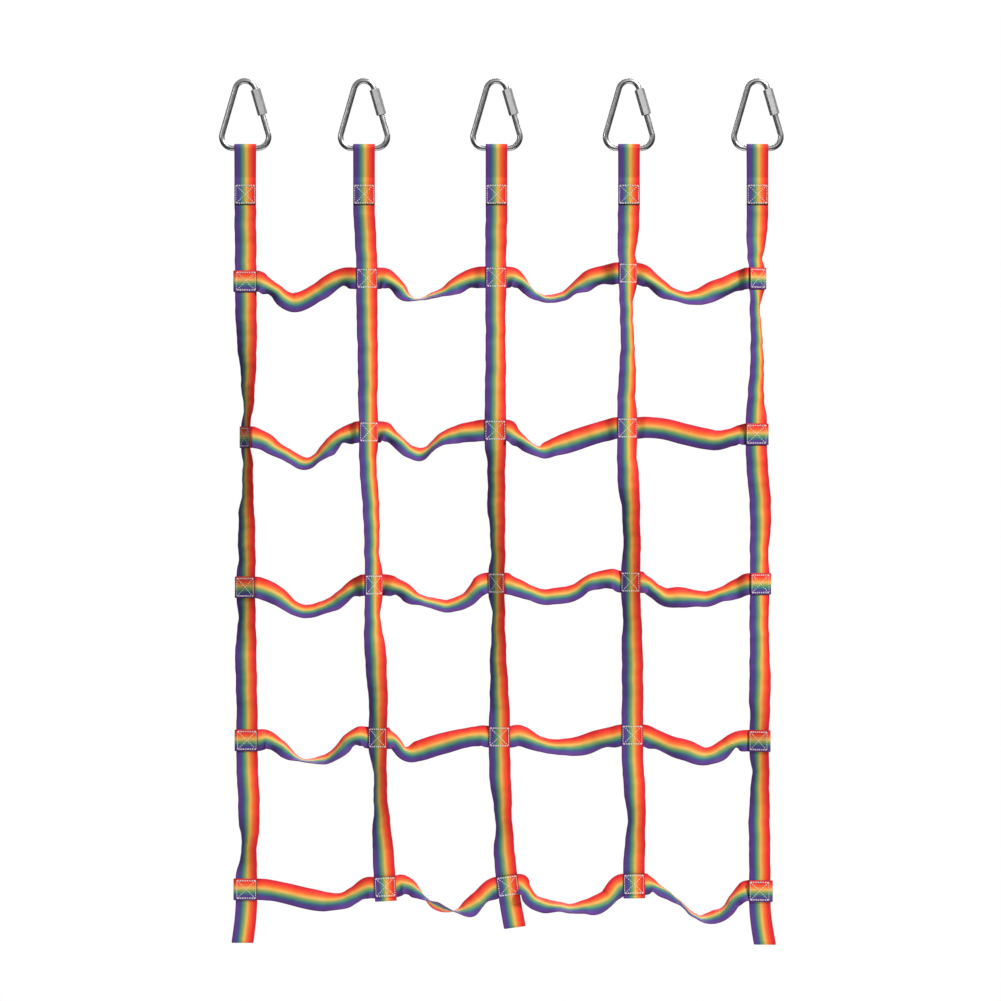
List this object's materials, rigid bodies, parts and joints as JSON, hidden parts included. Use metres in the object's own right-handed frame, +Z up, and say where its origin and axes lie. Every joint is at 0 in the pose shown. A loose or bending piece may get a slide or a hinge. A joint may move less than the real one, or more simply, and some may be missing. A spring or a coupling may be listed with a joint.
{
  "type": "webbing climbing net",
  "caption": "Hanging climbing net of flat rainbow-striped webbing straps, sewn at their crossings, with delta links at the top and tie-down loops at the bottom.",
  "frame": {"origin": "inside of the middle link's crown, where its hook bears", "axes": "+X to the right along the rows, +Z up, the net's front face looks to -Y"},
  "size_m": [0.989, 0.053, 1.518],
  "materials": {
    "webbing": "flat woven polyester webbing with lengthwise rainbow stripes",
    "thread": "off-white twisted sewing thread",
    "link_steel": "bright zinc-plated steel wire",
    "nut_steel": "satin zinc-plated steel"
  },
  "bodies": {
    "centre_link": {"link_3_wire": "link_steel"},
    "row_1": {"vertical_strap_1_row_1": "webbing", "vertical_strap_2_row_1": "webbing", "vertical_strap_3_row_1": "webbing", "vertical_strap_4_row_1": "webbing", "vertical_strap_5_row_1": "webbing", "horizontal_strap_1": "webbing", "row_1_stitching": "thread", "top_loop_stitching": "thread"},
    "row_2": {"vertical_strap_1_row_2": "webbing", "vertical_strap_2_row_2": "webbing", "vertical_strap_3_row_2": "webbing", "vertical_strap_4_row_2": "webbing", "vertical_strap_5_row_2": "webbing", "horizontal_strap_2": "webbing", "row_2_stitching": "thread"},
    "row_3": {"vertical_strap_1_row_3": "webbing", "vertical_strap_2_row_3": "webbing", "vertical_strap_3_row_3": "webbing", "vertical_strap_4_row_3": "webbing", "vertical_strap_5_row_3": "webbing", "horizontal_strap_3": "webbing", "row_3_stitching": "thread"},
    "row_4": {"vertical_strap_1_row_4": "webbing", "vertical_strap_2_row_4": "webbing", "vertical_strap_3_row_4": "webbing", "vertical_strap_4_row_4": "webbing", "vertical_strap_5_row_4": "webbing", "horizontal_strap_4": "webbing", "row_4_stitching": "thread"},
    "row_5": {"vertical_strap_1_row_5": "webbing", "vertical_strap_2_row_5": "webbing", "vertical_strap_3_row_5": "webbing", "vertical_strap_4_row_5": "webbing", "vertical_strap_5_row_5": "webbing", "horizontal_strap_5": "webbing", "row_5_stitching": "thread"},
    "link_1": {"link_1_wire": "link_steel"},
    "link_2": {"link_2_wire": "link_steel"},
    "link_4": {"link_4_wire": "link_steel"},
    "link_5": {"link_5_wire": "link_steel"},
    "nut_1": {"link_1_nut": "nut_steel"},
    "nut_2": {"link_2_nut": "nut_steel"},
    "nut_3": {"link_3_nut": "nut_steel"},
    "nut_4": {"link_4_nut": "nut_steel"},
    "nut_5": {"link_5_nut": "nut_steel"}
  },
  "joints": [
    {"name": "net_swing", "type": "hinge", "parent": "centre_link", "child": "row_1", "pos_m": [0, 0, -0.113], "axis": [1, 0, 0], "range_deg": [-80, 80]},
    {"name": "fold_1_2", "type": "hinge", "parent": "row_1", "child": "row_2", "pos_m": [0, 0, -0.4735], "axis": [1, 0, 0], "range_deg": [-135, 135]},
    {"name": "fold_2_3", "type": "hinge", "parent": "row_2", "child": "row_3", "pos_m": [0, 0, -0.7405], "axis": [-1, 0, 0], "range_deg": [-135, 135]},
    {"name": "fold_3_4", "type": "hinge", "parent": "row_3", "child": "row_4", "pos_m": [0, 0, -1.0075], "axis": [1, 0, 0], "range_deg": [-135, 135]},
    {"name": "fold_4_5", "type": "hinge", "parent": "row_4", "child": "row_5", "pos_m": [0, 0, -1.2745], "axis": [-1, 0, 0], "range_deg": [-135, 135]},
    {"name": "link_1_level", "type": "hinge", "parent": "row_1", "child": "link_1", "pos_m": [-0.44, 0, -0.113], "axis": [1, 0, 0], "range_deg": [-80, 80]},
    {"name": "link_2_level", "type": "hinge", "parent": "row_1", "child": "link_2", "pos_m": [-0.232, 0, -0.113], "axis": [1, 0, 0], "range_deg": [-80, 80]},
    {"name": "link_4_level", "type": "hinge", "parent": "row_1", "child": "link_4", "pos_m": [0.232, 0, -0.113], "axis": [1, 0, 0], "range_deg": [-80, 80]},
    {"name": "link_5_level", "type": "hinge", "parent": "row_1", "child": "link_5", "pos_m": [0.457, 0, -0.113], "axis": [1, 0, 0], "range_deg": [-80, 80]},
    {"name": "nut_1_travel", "type": "slide", "parent": "link_1", "child": "nut_1", "axis": [0.2772, 0, -0.9608], "range_m": [0, 0.024]},
    {"name": "nut_2_travel", "type": "slide", "parent": "link_2", "child": "nut_2", "axis": [0.2772, 0, -0.9608], "range_m": [0, 0.024]},
    {"name": "nut_3_travel", "type": "slide", "parent": "centre_link", "child": "nut_3", "axis": [0.2772, 0, -0.9608], "range_m": [0, 0.024]},
    {"name": "nut_4_travel", "type": "slide", "parent": "link_4", "child": "nut_4", "axis": [0.2772, 0, -0.9608], "range_m": [0, 0.024]},
    {"name": "nut_5_travel", "type": "slide", "parent": "link_5", "child": "nut_5", "axis": [0.2772, 0, -0.9608], "range_m": [0, 0.024]}
  ],
  "couplings": [
    {"joint": "link_1_level", "follows": "net_swing", "ratio": -1},
    {"joint": "link_2_level", "follows": "net_swing", "ratio": -1},
    {"joint": "link_4_level", "follows": "net_swing", "ratio": -1},
    {"joint": "link_5_level", "follows": "net_swing", "ratio": -1}
  ]
}
